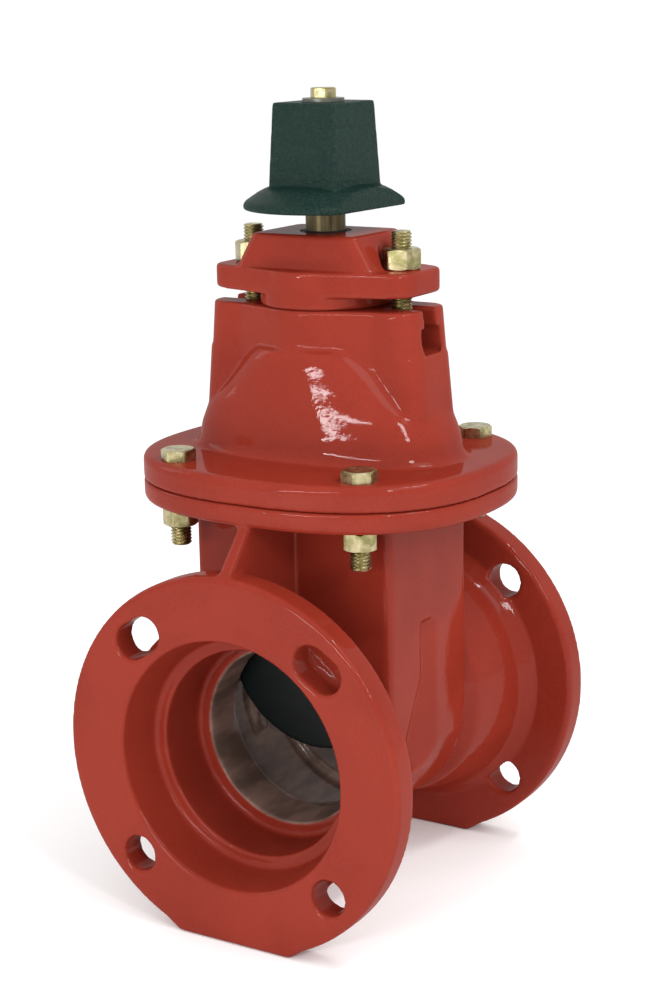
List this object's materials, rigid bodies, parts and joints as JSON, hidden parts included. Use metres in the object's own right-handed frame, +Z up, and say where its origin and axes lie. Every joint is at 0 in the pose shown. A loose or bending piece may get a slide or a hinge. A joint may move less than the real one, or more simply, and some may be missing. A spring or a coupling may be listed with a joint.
{
  "type": "gate valve",
  "caption": "Resilient-wedge gate valve with mechanical-joint bell ends, bolted bonnet, non-rising stem and square operating nut.",
  "frame": {"origin": "middle of the plane of the two flat feet, on the stem axis", "axes": "+Z up along the stem, Y along the flow with the slotted inlet flange at -Y, X across the valve"},
  "size_m": [0.2316, 0.2406, 0.498],
  "materials": {
    "red_epoxy": "glossy fusion-bonded epoxy",
    "black_rubber": "matte",
    "yellow_zinc": "yellow zinc dichromate plating",
    "bronze": "turned bronze, dull",
    "bushing_bronze": "turned",
    "nut_bronze": "cast bronze",
    "white_acetal": "matte",
    "wiper_rubber": "matte",
    "dark_green_enamel": "semi-gloss enamel over rough casting",
    "ductile_iron": "as cast",
    "wedge_rubber": "satin moulded EPDM",
    "guide_nylon": "matte"
  },
  "bodies": {
    "housing": {"valve_body": "red_epoxy", "bonnet": "red_epoxy", "stuffing_plate": "red_epoxy", "bonnet_gasket": "black_rubber", "plate_seal": "black_rubber", "bonnet_bolts": "yellow_zinc", "bonnet_nuts": "yellow_zinc", "plate_bolts": "yellow_zinc", "plate_nuts": "yellow_zinc", "thrust_washer_lower": "white_acetal", "thrust_washer_upper": "white_acetal", "stem_bushing": "bushing_bronze", "stem_seals": "black_rubber", "stem_seal_lower": "black_rubber", "dirt_seal": "wiper_rubber"},
    "stem_group": {"stem": "bronze", "operating_nut": "dark_green_enamel", "operating_nut_washer": "yellow_zinc", "operating_nut_bolt": "yellow_zinc"},
    "wedge_group": {"wedge_core": "ductile_iron", "wedge_rubber": "wedge_rubber", "wedge_guide_right": "guide_nylon", "wedge_guide_left": "guide_nylon", "stem_nut": "nut_bronze"}
  },
  "joints": [
    {"name": "stem_turn", "type": "hinge", "parent": "housing", "child": "stem_group", "pos_m": [0, 0, 0.359], "axis": [0, 0, 1], "range_deg": [-1700.79, 3188.98]},
    {"name": "wedge_lift", "type": "slide", "parent": "housing", "child": "wedge_group", "axis": [0, 0, 1], "range_m": [-0.0401, 0.0751]}
  ],
  "couplings": [
    {"joint": "wedge_lift", "follows": "stem_turn", "m_per_rad": 0.0013475}
  ]
}
